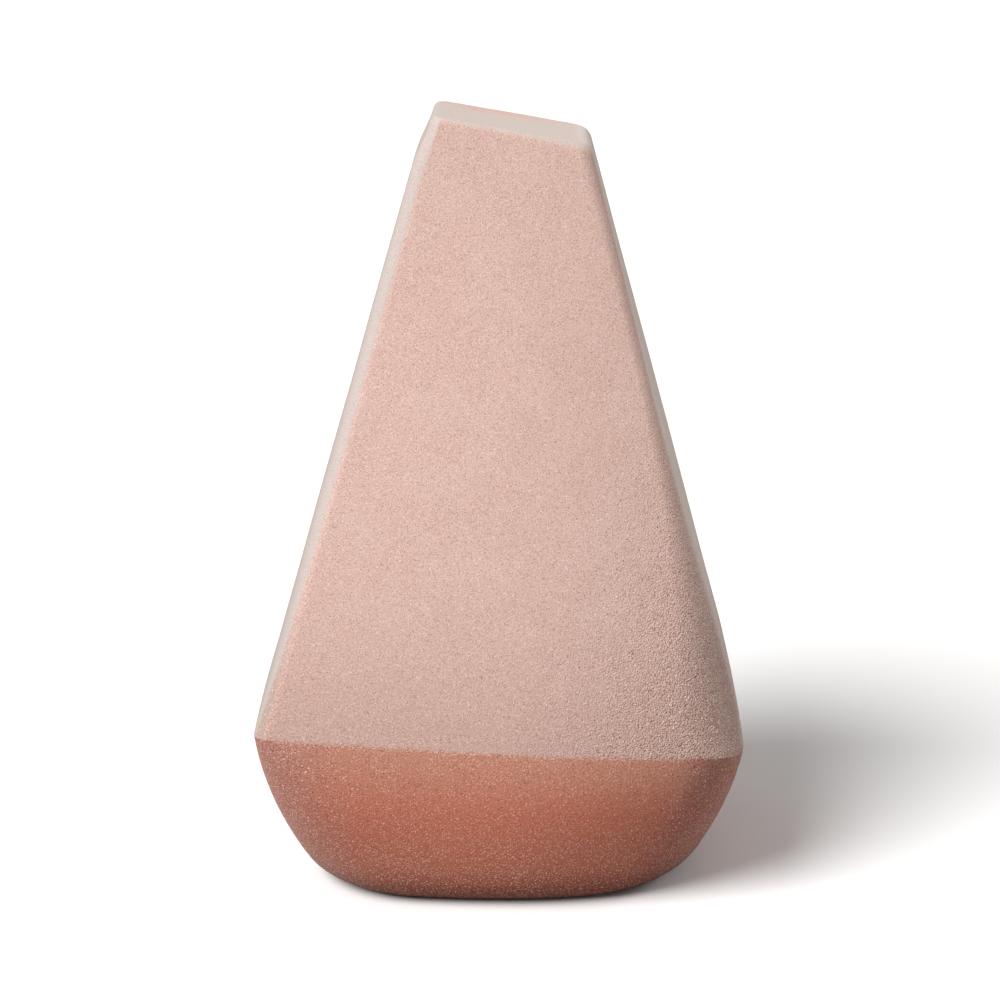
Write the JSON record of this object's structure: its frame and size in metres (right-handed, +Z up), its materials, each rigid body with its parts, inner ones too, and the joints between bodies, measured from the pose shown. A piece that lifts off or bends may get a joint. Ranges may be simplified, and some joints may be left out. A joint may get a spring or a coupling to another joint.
{
  "type": "makeup sponge",
  "caption": "Two-tone foam makeup sponge: a pale tapered body with a slanted flat tip, bonded to a rounded terracotta base that it stands on",
  "frame": {"origin": "middle of the flat sole that the sponge stands on", "axes": "+Z up to the tip, -Y is the front face, +X is the side where the slanted tip is lower"},
  "size_m": [0.0402, 0.036, 0.0643],
  "materials": {
    "rose_foam": "open-cell foam, matte and powdery",
    "terracotta_foam": "open-cell foam, velvety",
    "adhesive": "clear hot-melt film, dull"
  },
  "bodies": {
    "root": {"upper_body": "rose_foam", "base_dome": "terracotta_foam", "bond_film": "adhesive"}
  },
  "joints": []
}
